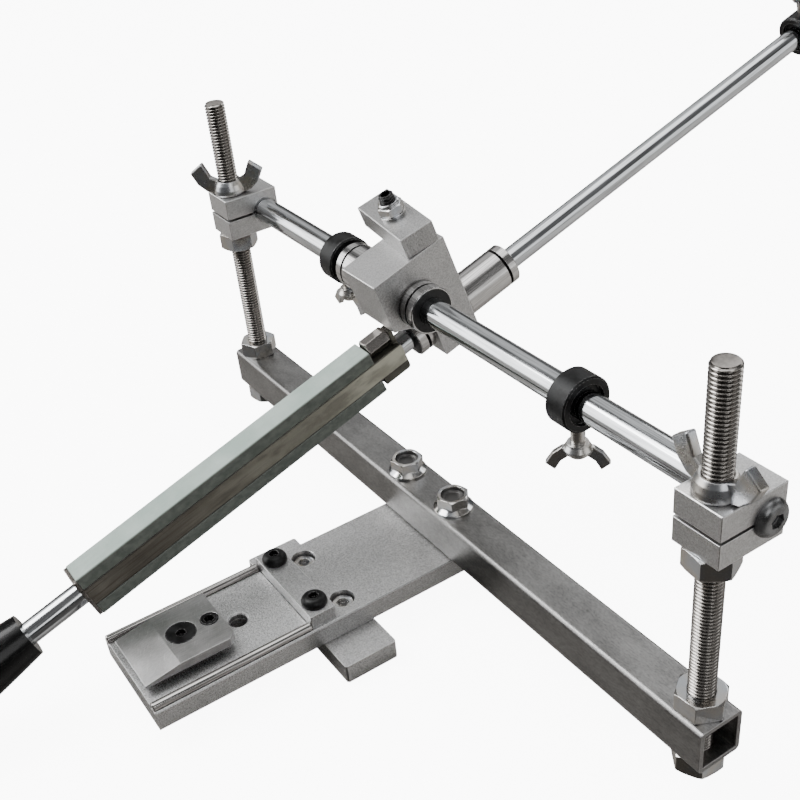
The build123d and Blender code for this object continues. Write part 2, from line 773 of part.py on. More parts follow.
def level_nodes():
    """Every piece that is square to the bench."""
    return {
        "foot_bar": foot_bar(),
        "foot_screws": foot_screws(),
        "arm_plate": arm_plate(),
        "base_tube": base_tube(),
        "flange_bolts": flange_bolts(),
        "stud_left": stud(-1),
        "stud_right": stud(1),
        "base_nuts_upper": base_nuts(tube_top_z, (22, 3)),
        "base_nuts_lower": base_nuts(tube_bottom_z - nut_height, (10, 25)),
        "side_rails": side_rails(),
        "jaw_bed_plate": jaw_bed_plate(),
        "stop_strip": stop_strip(),
        "strip_screws": strip_screws(),
        "top_jaw": top_jaw(),
        "jaw_clamp_screw": jaw_clamp_screw(),
        "jaw_set_screw": jaw_set_screw(),
        "clamp_block_left": clamp_block(-1),
        "clamp_block_right": clamp_block(1),
        "cross_rod": cross_rod(),
        "cross_rod_screws": cross_rod_screws(),
        "adjusting_nut_left": adjusting_nut(-1),
        "adjusting_nut_right": adjusting_nut(1),
        "wing_nut_left": placed_wing_nut(-1),
        "wing_nut_right": placed_wing_nut(1),
        "stop_collar_left": cross_collar(collar_left_x),
        "stop_collar_right": cross_collar(collar_right_x),
        "wing_screw_left": cross_wing_screw(collar_left_x, left_screw_length, 4),
        "wing_screw_right": cross_wing_screw(collar_right_x, cross_screw_length, 48),
    }


nodes = level_nodes()
nodes.update({name: CARRIAGE * shape for name, shape in carriage_nodes().items()})
to_origin = Pos(0, -foot_y, 0)
os.makedirs("parts", exist_ok=True)
for name, shape in nodes.items():
    export_step(to_origin * shape, f"parts/{name}.step")
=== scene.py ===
import json
import math

import bmesh
import bpy
from mathutils import Matrix, Vector


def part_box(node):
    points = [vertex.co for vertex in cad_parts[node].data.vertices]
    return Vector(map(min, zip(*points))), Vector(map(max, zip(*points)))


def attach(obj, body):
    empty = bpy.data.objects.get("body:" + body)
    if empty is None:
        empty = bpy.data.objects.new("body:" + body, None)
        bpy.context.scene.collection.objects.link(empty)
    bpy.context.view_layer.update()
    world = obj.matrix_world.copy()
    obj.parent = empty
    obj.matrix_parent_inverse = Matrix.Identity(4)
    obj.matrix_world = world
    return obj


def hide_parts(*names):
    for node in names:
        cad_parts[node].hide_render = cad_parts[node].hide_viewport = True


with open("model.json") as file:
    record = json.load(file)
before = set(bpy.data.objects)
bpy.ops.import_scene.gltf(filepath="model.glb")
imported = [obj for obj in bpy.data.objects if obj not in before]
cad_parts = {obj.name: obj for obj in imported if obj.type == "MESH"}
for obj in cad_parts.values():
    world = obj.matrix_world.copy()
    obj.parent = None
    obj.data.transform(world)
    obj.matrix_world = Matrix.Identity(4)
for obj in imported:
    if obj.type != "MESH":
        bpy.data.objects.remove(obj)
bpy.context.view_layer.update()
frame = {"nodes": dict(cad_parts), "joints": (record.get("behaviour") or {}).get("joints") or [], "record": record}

MM = 0.001
nodes = frame["nodes"]
joints = {joint["name"]: joint for joint in frame["joints"]}
body_of_node = {
    node: body for body, members in frame["record"]["behaviour"]["bodies"].items() for node in members
}

# Turns that bring the carriage's own axes, or the base's, onto the axes of a pattern.
PITCH = math.atan2(joints["guide_stroke"]["axis"][2], joints["guide_stroke"]["axis"][1])
LEVEL = (0, 0, 0)
TILTED = (-PITCH, 0, 0)

# Stretches of a pattern: a small number draws it out along that axis.
EVEN = (1, 1, 1)
ALONG_X = (0.02, 1, 1)
ALONG_Y = (1, 0.02, 1)

# The part of a noise value's range that carries its contrast.
NOISE_LOW, NOISE_HIGH = 0.3, 0.7


# ---- node graph helpers -------------------------------------------------------------
class Graph:
    """A material's node tree with short calls for the nodes used here."""

    def __init__(self, name):
        self.material = bpy.data.materials.new(name)
        self.material.use_nodes = True
        self.tree = self.material.node_tree
        self.tree.nodes.clear()
        output = self.add("ShaderNodeOutputMaterial")
        self.shader = self.add("ShaderNodeBsdfPrincipled")
        self.link(self.shader.outputs[0], output.inputs[0])
        self.place = self.add("ShaderNodeTexCoord").outputs["Object"]
        self.geometry = self.add("ShaderNodeNewGeometry").outputs

    def add(self, kind, **values):
        node = self.tree.nodes.new(kind)
        for key, value in values.items():
            setattr(node, key, value)
        return node

    def link(self, source, target):
        self.tree.links.new(source, target)

    def set(self, socket, value):
        if isinstance(value, bpy.types.NodeSocket):
            self.link(value, socket)
        else:
            socket.default_value = value

    def mapped(self, scale, turn):
        """Object coordinates turned, then scaled per axis."""
        spin = self.add("ShaderNodeMapping")
        spin.inputs["Rotation"].default_value = turn
        self.link(self.place, spin.inputs["Vector"])
        stretch = self.add("ShaderNodeMapping")
        stretch.inputs["Scale"].default_value = scale
        self.link(spin.outputs[0], stretch.inputs["Vector"])
        return stretch.outputs[0]

    def noise(self, scale, detail=3.0, rough=0.6, turn=LEVEL):
        """Noise value, 0 to 1. scale is cycles per metre, one for all axes or one for each."""
        if isinstance(scale, (int, float)):
            scale = (scale,) * 3
        node = self.add("ShaderNodeTexNoise")
        node.inputs["Scale"].default_value = 1.0
        node.inputs["Detail"].default_value = detail
        node.inputs["Roughness"].default_value = rough
        self.link(self.mapped(scale, turn), node.inputs["Vector"])
        return node.outputs["Fac"]

    def cells(self, scale, turn=LEVEL):
        """Distance to the nearest of scattered points."""
        node = self.add("ShaderNodeTexVoronoi")
        node.inputs["Scale"].default_value = 1.0
        self.link(self.mapped((scale,) * 3, turn), node.inputs["Vector"])
        return node.outputs["Distance"]

    def ramp(self, value, low, high, out_low=0.0, out_high=1.0, smooth=True):
        node = self.add("ShaderNodeMapRange")
        if smooth:
            node.interpolation_type = "SMOOTHSTEP"
        self.link(value, node.inputs["Value"])
        node.inputs["From Min"].default_value = low
        node.inputs["From Max"].default_value = high
        node.inputs["To Min"].default_value = out_low
        node.inputs["To Max"].default_value = out_high
        return node.outputs["Result"]

    def level(self, noise, out_low=0.0, out_high=1.0):
        """A noise value stretched to run from one level to another."""
        return self.ramp(noise, NOISE_LOW, NOISE_HIGH, out_low, out_high)

    def vary(self, noise, amount):
        """A noise value stretched to run as far below zero as above it."""
        return self.level(noise, -amount, amount)

    def math(self, kind, a, b=0.0):
        node = self.add("ShaderNodeMath", operation=kind)
        self.set(node.inputs[0], a)
        self.set(node.inputs[1], b)
        return node.outputs[0]

    def sum(self, total, *values):
        for value in values:
            total = self.math("ADD", total, value)
        return total

    def times(self, a, b):
        return self.math("MULTIPLY", a, b)

    def mix(self, share, a, b):
        node = self.add("ShaderNodeMix", data_type="RGBA")
        self.set(node.inputs["Factor"], share)
        self.set(node.inputs[6], a)
        self.set(node.inputs[7], b)
        return node.outputs[2]

    def vector(self, kind, a, b=(0, 0, 0)):
        node = self.add("ShaderNodeVectorMath", operation=kind)
        self.set(node.inputs[0], a)
        self.set(node.inputs[1], b)
        return node.outputs["Value" if kind in ("LENGTH", "DOT_PRODUCT") else "Vector"]

    def dot(self, a, b):
        return self.vector("DOT_PRODUCT", a, b)

    def from_point(self, point):
        """Vector from a point to the place being shaded."""
        return self.vector("SUBTRACT", self.place, tuple(point))

    def rounded(self, radius):
        """Normals that round the corners off."""
        node = self.add("ShaderNodeBevel", samples=4)
        node.inputs["Radius"].default_value = radius
        return node.outputs[0]

    def corners(self, radius, soft=0.12):
        """1 on the corners of a solid, 0 on its flats."""
        agreement = self.dot(self.rounded(radius), self.geometry["Normal"])
        return self.ramp(agreement, 1.0 - soft, 0.999, 1.0, 0.0)

    def open_air(self, reach):
        """1 where nothing is near, falling to 0 in corners between pieces."""
        node = self.add("ShaderNodeAmbientOcclusion", samples=8)
        node.inputs["Distance"].default_value = reach
        return self.ramp(node.outputs["AO"], 0.15, 0.75)

    def groove(self, centre, axis, radius, half_length):
        """1 in the grooves of a sleeve round an axis, 0 on its outside and its ends."""
        arm = self.from_point(centre)
        distance = self.vector("LENGTH", self.vector("CROSS_PRODUCT", arm, tuple(axis)))
        deep = self.ramp(distance, radius - 0.5 * MM, radius - 0.3 * MM, 1.0, 0.0)
        outside = self.ramp(distance, radius - 1.6 * MM, radius - 1.2 * MM)
        along = self.math("ABSOLUTE", self.dot(arm, tuple(axis)))
        inboard = self.math("LESS_THAN", along, half_length)
        return self.times(self.times(deep, outside), inboard)

    def from_pair(self, spacing, y):
        """Distance from the nearer of two upright axes at x = -spacing and x = spacing."""
        reach = self.add("ShaderNodeCombineXYZ")
        along = self.math("SUBTRACT", self.math("ABSOLUTE", self.dot(self.place, (1, 0, 0))), spacing)
        self.link(along, reach.inputs[0])
        self.link(self.math("SUBTRACT", self.dot(self.place, (0, 1, 0)), y), reach.inputs[1])
        return self.vector("LENGTH", reach.outputs[0])

    def tinted(self, value, warm):
        """Colour from a brightness, a little warm or cool."""
        tint = self.add("ShaderNodeCombineColor")
        self.link(self.times(value, 1 + warm), tint.inputs[0])
        self.link(value, tint.inputs[1])
        self.link(self.times(value, 1 - warm), tint.inputs[2])
        return tint.outputs[0]

    def bump(self, height, distance, strength, corner=None):
        """Normals with relief; corner is the radius of rounded corners under it."""
        node = self.add("ShaderNodeBump")
        node.inputs["Strength"].default_value = strength
        node.inputs["Distance"].default_value = distance
        self.link(height, node.inputs["Height"])
        if corner is not None:
            self.link(self.rounded(corner), node.inputs["Normal"])
        return node.outputs[0]

    def finish(self, color, metallic, roughness, normal=None, **more):
        self.set(self.shader.inputs["Base Color"], color)
        self.set(self.shader.inputs["Metallic"], metallic)
        self.set(self.shader.inputs["Roughness"], roughness)
        if normal is not None:
            self.link(normal, self.shader.inputs["Normal"])
        for key, value in more.items():
            self.set(self.shader.inputs[key.replace("_", " ")], value)
        return self.material


def grey(value, warm=0.0):
    """Opaque colour of a given brightness, a little warm or cool."""
    return (value * (1 + warm), value, value * (1 - warm), 1.0)


def stretched(scale, along):
    """Cycles per metre on each axis, drawn out where along is small."""
    return tuple(scale * share for share in along)


def middle(node):
    """Centre of a CAD node's box."""
    low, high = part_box(node)
    return (low + high) / 2


# ---- materials ----------------------------------------------------------------------
def blasted_aluminium(name, tone, warm=0.004, turn=LEVEL, grain=EVEN, grain_share=0.25, grit=1.0):
    """Blasted and lightly brushed aluminium: bright grains, faint milling lines, edges lightened as wear and as a
    painted highlight.
    """
    g = Graph(name)
    sparkle = g.level(g.noise(1700, rough=0.7, turn=turn))
    speck = g.ramp(g.cells(1500, turn), 0.0, 0.30, 1.0, 0.0)
    lines = g.noise(stretched(3000, grain), turn=turn)
    cloud = g.noise(45, rough=0.55, turn=turn)
    # Edges: lightened partly as wear and partly as a painted highlight.
    edge = g.corners(0.6 * MM, soft=0.06)
    value = g.sum(
        g.times(sparkle, 0.20 * grit), tone - 0.03 - 0.10 * grit,
        g.vary(cloud, 0.02), g.vary(lines, 0.2 * grain_share),
        g.times(speck, 0.14 * grit), g.times(edge, 0.40),
    )
    roughness = g.math("SUBTRACT", g.ramp(sparkle, 0.0, 1.0, 0.48, 0.40), g.times(edge, 0.12))
    height = g.sum(g.times(sparkle, 0.5), g.times(lines, grain_share * 2))
    normal = g.bump(height, 0.04 * MM * grit, 0.5, corner=0.3 * MM)
    return g.finish(g.tinted(value, warm), 1.0, roughness, normal)


def satin_steel(name, tone, warm, along=EVEN, turn=LEVEL, rough=0.34, relief=0.5, mottle=1.0):
    """Drawn steel with streaks along its length, faint blotches and worn corners."""
    g = Graph(name)
    streak = g.noise(stretched(1800, along), detail=4.0, rough=0.65, turn=turn)
    blotch = g.noise(tuple(90 * (0.3 + 0.7 * share) for share in along), detail=4.0, turn=turn)
    fine = g.noise(2400, detail=2.0, turn=turn)
    edge = g.corners(0.8 * MM)
    uneven = g.sum(g.ramp(streak, 0.25, 0.75, -0.07, 0.07), g.vary(blotch, 0.05), g.vary(fine, 0.04))
    value = g.sum(g.times(uneven, mottle), g.times(edge, 0.25), tone)
    roughness = g.sum(g.times(g.level(blotch, -0.05, 0.07), mottle), rough + 0.03)
    normal = g.bump(g.sum(streak, g.times(fine, 0.6)), 0.04 * MM, relief, corner=0.6 * MM)
    return g.finish(g.tinted(value, warm), 1.0, roughness, normal)


def plated_thread(name, tone, warm, spacing, y, root, crest):
    """Plated studs, a pair of upright threads: painted shade in the thread roots, full-tone crests and tops, a
    little grime.
    """
    g = Graph(name)
    top = g.ramp(g.dot(g.geometry["Normal"], (0, 0, 1)), 0.85, 0.97)
    # Painted shade: thread roots darker than the crests; top faces left at full tone.
    root_shade = g.math("MAXIMUM", g.ramp(g.from_pair(spacing, y), root, crest, 0.46, 1.0), top)
    grime = g.noise((900, 900, 160))
    value = g.times(root_shade, g.level(grime, tone * 0.85, tone * 1.1))
    roughness = g.sum(g.level(grime, 0.20, 0.27), g.times(top, 0.25))
    normal = g.bump(grime, 0.01 * MM, 0.2, corner=0.2 * MM)
    return g.finish(g.tinted(value, warm), 1.0, roughness, normal)


def holder_bar(name, centre, along, up, half_height):
    """Dull olive steel bar, darker towards its front, with painted shadow along the lines where the stones lie."""
    olive, dark_olive = (0.640, 0.640, 0.540, 1), (0.130, 0.118, 0.100, 1)
    stained, scratched = (0.125, 0.105, 0.085, 1), (0.50, 0.48, 0.42, 1)
    shadow, worn = (0.02, 0.018, 0.015, 1), (0.62, 0.60, 0.54, 1)
    g = Graph(name)
    arm = g.from_point(centre)
    frontwards = g.ramp(g.dot(arm, tuple(along)), -0.16, -0.02, 1.0, 0.0, smooth=False)
    streak = g.noise((1600, 40, 1600), detail=4.0, rough=0.65, turn=TILTED)
    stain = g.ramp(g.noise((140, 45, 140), detail=5.0, rough=0.62, turn=TILTED), 0.42, 0.62)
    fine = g.noise(2400, detail=2.0, turn=TILTED)
    dirt = g.times(stain, g.ramp(frontwards, 0.0, 0.3, 0.10, 0.45))
    color = g.mix(dirt, g.mix(frontwards, olive, dark_olive), stained)
    color = g.mix(g.ramp(streak, 0.35, 0.70, 0.0, 0.22), color, scratched)
    # Painted shadow: a near-black band on the faces next to the stones.
    height = g.math("ABSOLUTE", g.dot(arm, tuple(up)))
    joint = g.ramp(height, half_height - 0.7 * MM, half_height - 0.2 * MM)
    color = g.mix(g.times(joint, 0.8), color, shadow)
    color = g.mix(g.times(g.corners(0.6 * MM), 0.25), color, worn)
    roughness = g.sum(g.ramp(stain, 0.0, 1.0, 0.34, 0.50), g.times(fine, 0.08))
    normal = g.bump(g.sum(streak, g.times(fine, 0.6)), 0.04 * MM, 0.5, corner=0.4 * MM)
    return g.finish(color, 0.85, roughness, normal)


def polished_shaft(name, tone=0.66, along=ALONG_X, turn=LEVEL, rough=0.08, cool=0.03, sleeve=None):
    """Ground and polished steel: very fine lines round it and a few worn tracks along it.

    sleeve is a bushing shell's centre, axis, radius, the half length its grooves lie in, and the
    distance from its middle to the face of the block it leaves. Painted shade darkens the grooves,
    and the shell next to that block face.
    """
    g = Graph(name)
    around = g.noise(tuple(5200 * (1.0 - share * 0.985) for share in along), detail=2.0, turn=turn)
    tracks = g.noise(stretched(2100, along), detail=2.0, turn=turn)
    smear = g.noise(70, rough=0.5, turn=turn)
    color = g.tinted(g.sum(g.ramp(tracks, 0.3, 0.6, -0.24, 0.06), tone), -cool)
    roughness = g.sum(g.level(smear, rough - 0.02, rough + 0.05), g.times(tracks, 0.06))
    if sleeve is not None:
        centre, axis, radius, half_length, root = sleeve
        # Painted shade: grooves near black, and a dark band where the shell leaves the block.
        groove_shade = g.groove(centre, axis, radius, half_length)
        color = g.mix(groove_shade, color, grey(0.008))
        roughness = g.sum(roughness, g.times(groove_shade, 0.5))
        past_root = g.math("SUBTRACT", g.dot(g.from_point(centre), tuple(axis)), root)
        oil_and_shade = g.ramp(g.math("ABSOLUTE", past_root), 0.5 * MM, 2.4 * MM, 0.85, 0.0)
        color = g.mix(oil_and_shade, color, (0.03, 0.028, 0.024, 1))
    normal = g.bump(g.sum(around, g.times(tracks, 1.5)), 0.01 * MM, 0.35, corner=0.25 * MM)
    return g.finish(color, 1.0, roughness, normal)


def bright_zinc(name, tone, rough=0.12, cup=None):
    """Bright zinc plate: soft mottling, a trace of yellow and blue, small dents, worn edges and painted shade in
    the corners between pieces.

    cup is the half spacing, y, radius and rim height of a pair of recesses in bolt heads, painted dark as shade
    and made rougher.
    """
    g = Graph(name)
    blotch = g.noise(260, detail=4.0)
    pits = g.ramp(g.noise(1500, rough=0.65), 0.30, 0.60)
    yellow = (tone * 1.05, tone, tone * 0.92, 1)
    blue = (tone * 0.95, tone * 0.99, tone * 1.04, 1)
    color = g.mix(g.ramp(g.noise(120, detail=2.0, rough=0.5), 0.35, 0.65), yellow, blue)
    color = g.mix(g.ramp(blotch, 0.35, 0.65, 0.0, 0.15), color, grey(tone * 0.7, 0.02))
    color = g.mix(g.times(g.corners(0.6 * MM), 0.6), color, grey(min(tone * 1.3, 0.93), 0.01))
    # Painted shade: darker in the corners between pieces.
    color = g.mix(g.open_air(1.6 * MM), grey(tone * 0.12, 0.02), color)
    roughness = g.sum(g.level(blotch, rough - 0.02, rough + 0.04), g.times(pits, 0.03))
    if cup is not None:
        spacing, y, radius, rim = cup
        inside = g.ramp(g.from_pair(spacing, y), radius - 0.3 * MM, radius, 1.0, 0.0)
        below = g.ramp(g.dot(g.place, (0, 0, 1)), rim - 0.9 * MM, rim - 0.2 * MM, 1.0, 0.0)
        # Painted shade inside the bolt-head recesses.
        cup_shade = g.times(inside, below)
        color = g.mix(cup_shade, color, grey(0.13, 0.02))
        roughness = g.sum(roughness, g.times(cup_shade, 0.3))
    normal = g.bump(g.sum(blotch, g.times(pits, 0.05)), 0.02 * MM, 0.2, corner=0.5 * MM)
    return g.finish(color, 1.0, roughness, normal)


def ground_steel(name, tone, warm):
    """Surface-ground steel jaw: faint cross lines, cloudy tarnish and a few scratches."""
    g = Graph(name)
    lines = g.noise((3000, 200, 3000))
    cloud = g.noise(110, detail=4.0)
    scratch = g.ramp(g.noise((240, 2600, 900), detail=2.0, rough=0.5, turn=(0, 0, 0.5)), 0.62, 0.68)
    value = g.sum(
        g.vary(lines, 0.05), g.vary(cloud, 0.025),
        g.times(g.corners(0.6 * MM), 0.3), g.times(scratch, 0.10), tone,
    )
    roughness = g.level(cloud, 0.33, 0.38)
    normal = g.bump(g.sum(lines, g.times(scratch, -0.8)), 0.03 * MM, 0.35, corner=0.4 * MM)
    return g.finish(g.tinted(value, warm), 1.0, roughness, normal)


def black_oxide(name, tone=0.018, turn=LEVEL, rough=0.36):
    """Oiled black-oxide steel: near black, slightly worn to grey on its corners, which also serves as a painted
    edge highlight.
    """
    g = Graph(name)
    fine = g.noise(2600, turn=turn)
    oil_and_shade = g.noise(220, rough=0.5, turn=turn)
    worn = g.times(g.corners(0.6 * MM), g.ramp(g.noise(900, turn=turn), 0.35, 0.65))
    base = g.mix(g.level(oil_and_shade), grey(tone * 0.7), grey(tone * 1.5, -0.02))
    # Corners: grey partly from wear and partly as a painted highlight.
    color = g.mix(g.times(worn, 0.75), base, grey(0.34))
    roughness = g.sum(g.level(oil_and_shade, rough - 0.08, rough + 0.08), g.times(fine, 0.08))
    return g.finish(color, 0.75, roughness, g.bump(fine, 0.04 * MM, 0.4, corner=0.5 * MM))


def rubber(name):
    g = Graph(name)
    fine = g.noise(1800)
    color = g.mix(g.level(fine), grey(0.004), grey(0.0088))
    normal = g.bump(fine, 0.05 * MM, 0.5, corner=0.3 * MM)
    return g.finish(color, 0.0, g.ramp(fine, 0.2, 0.8, 0.42, 0.62), normal)


def gloss_grip(name):
    """Black moulded grip: glossy, with faint swirls and hairline scuffs."""
    g = Graph(name)
    swirl = g.noise(90, detail=4.0, rough=0.55, turn=TILTED)
    scuff = g.ramp(g.noise((2200, 160, 2200), detail=2.0, rough=0.5, turn=TILTED), 0.60, 0.66)
    color = g.mix(g.level(swirl), grey(0.003), grey(0.007, -0.03))
    roughness = g.sum(g.level(swirl, 0.16, 0.26), g.times(scuff, 0.15))
    return g.finish(color, 0.0, roughness, g.bump(swirl, 0.04 * MM, 0.3), Specular_IOR_Level=0.25)


def honing_stone(name, up):
    """Fine abrasive stone: pale and smooth where it's used, darker and mottled on its sides."""
    pale_low, pale_high = (0.39, 0.49, 0.44, 1), (0.51, 0.605, 0.555, 1)
    side_low, side_high = (0.125, 0.142, 0.125, 1), (0.195, 0.215, 0.190, 1)
    swarf_grey, side_grain = (0.28, 0.33, 0.30, 1), (0.26, 0.30, 0.27, 1)
    worn, pore = (0.60, 0.66, 0.62, 1), (0.12, 0.15, 0.13, 1)
    g = Graph(name)
    used = g.ramp(g.dot(g.geometry["Normal"], tuple(up)), 0.55, 0.85)
    fine = g.noise(2800, rough=0.7, turn=TILTED)
    grain = g.cells(1700, TILTED)
    mottle = g.noise((420, 260, 420), detail=5.0, rough=0.65, turn=TILTED)
    cloud = g.noise(55, turn=TILTED)
    swarf = g.ramp(g.noise((700, 70, 700), detail=4.0, turn=TILTED), 0.50, 0.72)
    pale = g.mix(g.level(cloud), pale_low, pale_high)
    pale = g.mix(g.times(swarf, 0.18), pale, swarf_grey)
    side = g.mix(g.ramp(mottle, 0.35, 0.65), side_low, side_high)
    side = g.mix(g.ramp(grain, 0.0, 0.30, 0.22, 0.0), side, side_grain)
    color = g.mix(g.times(g.corners(0.6 * MM), 0.5), g.mix(used, side, pale), worn)
    color = g.mix(g.ramp(fine, 0.35, 0.65, 0.0, 0.14), color, pore)
    normal = g.bump(g.sum(fine, g.times(grain, 0.5)), 0.08 * MM, 0.6, corner=0.4 * MM)
    return g.finish(color, 0.0, g.ramp(fine, 0.2, 0.8, 0.55, 0.78), normal)


def moulded_cage(name):
    g = Graph(name)
    fine = g.noise(1200, turn=TILTED)
    color = g.mix(g.level(fine), grey(0.02), grey(0.04))
    return g.finish(color, 0.0, g.ramp(fine, 0.2, 0.8, 0.4, 0.6), g.bump(fine, 0.04 * MM, 0.4))


# ---- places the materials need ------------------------------------------------------
FLANGE_RADIUS = 8.8 * MM
CUP_RADIUS = 5.3 * MM

guide_axis = Vector(joints["guide_stroke"]["axis"])
stone_up = Vector(joints["swivel_turn"]["axis"])
stud_axis = middle("stud_right")
bolt_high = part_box("flange_bolts")[1]
bolt_cup = (bolt_high.x - FLANGE_RADIUS, middle("flange_bolts").y, CUP_RADIUS, bolt_high.z)
cross_sleeve = (middle("cross_bushing_shell"), (1, 0, 0), 10.5 * MM, 29.0 * MM, 21.3 * MM)
guide_sleeve = (middle("guide_bushing_shell"), guide_axis, 9.5 * MM, 27.2 * MM, -1.0 * MM)

materials = {
    "block": blasted_aluminium("blasted_block", tone=0.53, turn=TILTED),
    "swivel": blasted_aluminium(
        "blasted_swivel", tone=0.46, turn=TILTED, grain=(1, 1, 0.05), grain_share=0.4,
    ),
    "clamp": blasted_aluminium("blasted_clamp", tone=0.56, grit=0.8),
    "arm": blasted_aluminium(
        "blasted_arm", tone=0.56, warm=0.002, grain=(1, 0.08, 1), grain_share=0.3, grit=1.7,
    ),
    "bed": blasted_aluminium("blasted_bed", tone=0.62, warm=0.0, grit=2.4),
    "strip": blasted_aluminium(
        "blasted_strip", tone=0.55, warm=0.0, grain=(0.08, 1, 1), grain_share=0.3, grit=1.4,
    ),
    "tube": satin_steel("satin_tube", tone=0.25, warm=0.012, along=(0.3, 1, 1), relief=0.2, mottle=0.8),
    "jaw": ground_steel("ground_jaw", tone=0.46, warm=0.004),
    "cross_shaft": polished_shaft("polished_cross_shaft"),
    "guide_shaft": polished_shaft("polished_guide_shaft", along=ALONG_Y, turn=TILTED),
    "rail": polished_shaft("polished_rail", tone=0.52, along=ALONG_Y, cool=-0.03),
    "sleeve_x": polished_shaft(
        "polished_sleeve_x", tone=0.60, rough=0.13, cool=-0.01, sleeve=cross_sleeve,
    ),
    "sleeve_y": polished_shaft(
        "polished_sleeve_y", tone=0.58, along=ALONG_Y, turn=TILTED, rough=0.15, cool=-0.02,
        sleeve=guide_sleeve,
    ),
    "ball": polished_shaft("polished_ball", tone=0.7),
    "zinc": bright_zinc("zinc_hardware", tone=0.62),
    "bolt": bright_zinc("zinc_bolt", tone=0.62, cup=bolt_cup),
    "cast_zinc": bright_zinc("zinc_cast", tone=0.60, rough=0.26),
    "stud": plated_thread(
        "plated_stud", tone=0.42, warm=0.06, spacing=stud_axis.x, y=stud_axis.y,
        root=4.1 * MM, crest=4.9 * MM,
    ),
    "black": black_oxide("black_oxide"),
    "black_tilted": black_oxide("black_oxide_tilted", turn=TILTED),
    "end_screw": black_oxide("dark_polished_screw", tone=0.16, rough=0.24),
    "seal": rubber("seal_rubber"),
    "cage": moulded_cage("moulded_cage"),
    "holder": holder_bar(
        "olive_holder", middle("guide_bushing_shell"), guide_axis, stone_up, half_height=5.0 * MM,
    ),
    "dark": satin_steel("dark_steel", tone=0.10, warm=0.08, turn=TILTED, rough=0.22),
    "olive": satin_steel(
        "olive_screw", tone=0.34, warm=0.06, turn=TILTED, rough=0.12, relief=0.05, mottle=0.4,
    ),
    "stone_top": honing_stone("stone_pale_top", stone_up),
    "stone_bottom": honing_stone("stone_pale_bottom", -stone_up),
    "grip": gloss_grip("gloss_grip"),
}

node_material = {
    "foot_bar": "arm", "foot_screws": "zinc", "arm_plate": "arm", "base_tube": "tube",
    "flange_bolts": "bolt", "stud_left": "stud", "stud_right": "stud",
    "base_nuts_upper": "zinc", "base_nuts_lower": "zinc", "side_rails": "rail",
    "jaw_bed_plate": "bed", "stop_strip": "strip", "strip_screws": "black",
    "top_jaw": "jaw", "jaw_clamp_screw": "black", "jaw_set_screw": "black",
    "clamp_block_left": "clamp", "clamp_block_right": "clamp", "cross_rod": "cross_shaft",
    "cross_rod_screws": "end_screw", "adjusting_nut_left": "zinc", "adjusting_nut_right": "zinc",
    "wing_nut_left": "cast_zinc", "wing_nut_right": "cast_zinc",
    "stop_collar_left": "black", "stop_collar_right": "black",
    "wing_screw_left": "cast_zinc", "wing_screw_right": "cast_zinc",
    "carriage_block": "block", "cross_bushing_shell": "sleeve_x", "cross_bushing_seals": "seal",
    "cross_bushing_cage": "cage", "cross_bushing_balls": "ball",
    "guide_bushing_shell": "sleeve_y", "guide_bushing_seals": "seal",
    "guide_bushing_cage": "cage", "guide_bushing_balls": "ball",
    "swivel_bar": "swivel", "swivel_screw": "black_tilted", "swivel_washer": "zinc",
    "swivel_nut": "zinc", "guide_rod": "guide_shaft", "stone_holder": "holder",
    "stone_top": "stone_top", "stone_bottom": "stone_bottom", "holder_end_plate": "dark",
    "stone_clamp_screw": "olive", "handle_rod": "guide_shaft", "handle": "grip",
    "stop_collar_far": "black_tilted", "wing_screw_far": "cast_zinc",
}

for name, obj in nodes.items():
    obj.data.materials.clear()
    obj.data.materials.append(materials[node_material[name]])


# ---- pieces built here --------------------------------------------------------------
# A thread's profile, as shares of half a pitch: the flat crest, then the flank; the rest is root.
CREST_SHARE = 0.18
FLANK_SHARE = 0.612
ROWS_PER_TURN = 8

# Key recess in the swivel screw.
SOCKET_FLATS = 4.0 * MM
SOCKET_DEPTH = 3.0 * MM
SOCKET_TURN = math.radians(10)

# Edges steeper than this stay sharp on a threaded piece.
SHARP_ANGLE = math.radians(50)


def new_piece(name, mesh, node):
    """Mesh object that stands for a CAD node, rides on its body and has its material."""
    mesh.materials.clear()
    mesh.materials.append(materials[node_material[node]])
    mesh.polygons.foreach_set("use_smooth", [True] * len(mesh.polygons))
    mesh.set_sharp_from_angle(angle=SHARP_ANGLE)
    obj = bpy.data.objects.new(name, mesh)
    bpy.context.scene.collection.objects.link(obj)
    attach(obj, body_of_node[node])
    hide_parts(node)


def ring_of(bm, radii, z):
    """Vertices round the Z axis at a height, one for each radius."""
    turns = [2 * math.pi * i / len(radii) for i in range(len(radii))]
    return [bm.verts.new((r * math.cos(a), r * math.sin(a), z)) for r, a in zip(radii, turns)]


def join_rings(bm, low, high):
    """Quads between two rings of the same number of vertices."""
    for i in range(len(low)):
        j = (i + 1) % len(low)
        bm.faces.new((low[i], low[j], high[j], high[i]))


def thread_height(phase, depth):
    """Height over the root at a phase of the thread's pitch."""
    off_crest = abs((phase % 1.0) - 0.5) * 2
    if off_crest < CREST_SHARE:
        return depth
    if off_crest > CREST_SHARE + FLANK_SHARE:
        return 0.0
    return depth * (1 - (off_crest - CREST_SHARE) / FLANK_SHARE)


def close_with_socket(bm, rim, z, flats, depth):
    """Closes a round end with a hexagonal key recess."""
    sector = math.pi / 3
    radii = []
    for i in range(len(rim)):
        off_middle = (2 * math.pi * i / len(rim) + sector / 2) % sector - sector / 2
        radii.append(flats / 2 / math.cos(off_middle))
    mouth = ring_of(bm, radii, z)
    floor = ring_of(bm, radii, z - depth)
    join_rings(bm, rim, mouth)
    join_rings(bm, mouth, floor)
    bm.faces.new(floor)


